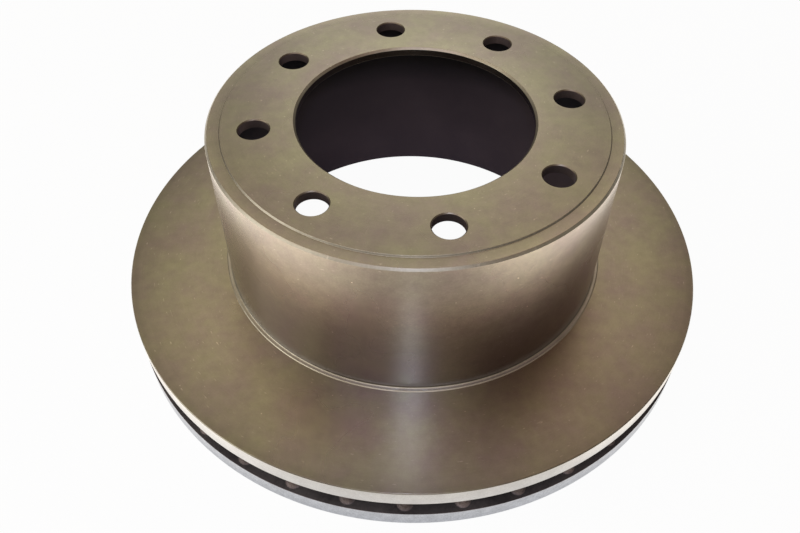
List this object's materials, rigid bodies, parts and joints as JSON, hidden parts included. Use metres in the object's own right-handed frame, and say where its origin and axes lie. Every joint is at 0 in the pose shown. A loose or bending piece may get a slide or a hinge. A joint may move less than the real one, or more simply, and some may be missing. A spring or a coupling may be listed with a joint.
{
  "type": "ventilated brake disc",
  "caption": "Ventilated brake disc with a deep cylindrical hat, a wide centre bore and a circle of wheel bolt holes; two friction plates joined by radial vanes.",
  "frame": {"origin": "centre of the inboard friction face, which the disc rests on", "axes": "+Z along the wheel's axis, from the inboard friction face towards the wheel face of the hat; +X to the picture's right"},
  "size_m": [0.326, 0.326, 0.1197],
  "materials": {
    "cast_iron": "turned and ground grey iron, bare"
  },
  "bodies": {
    "root": {"brake_disc": "cast_iron"}
  },
  "joints": []
}
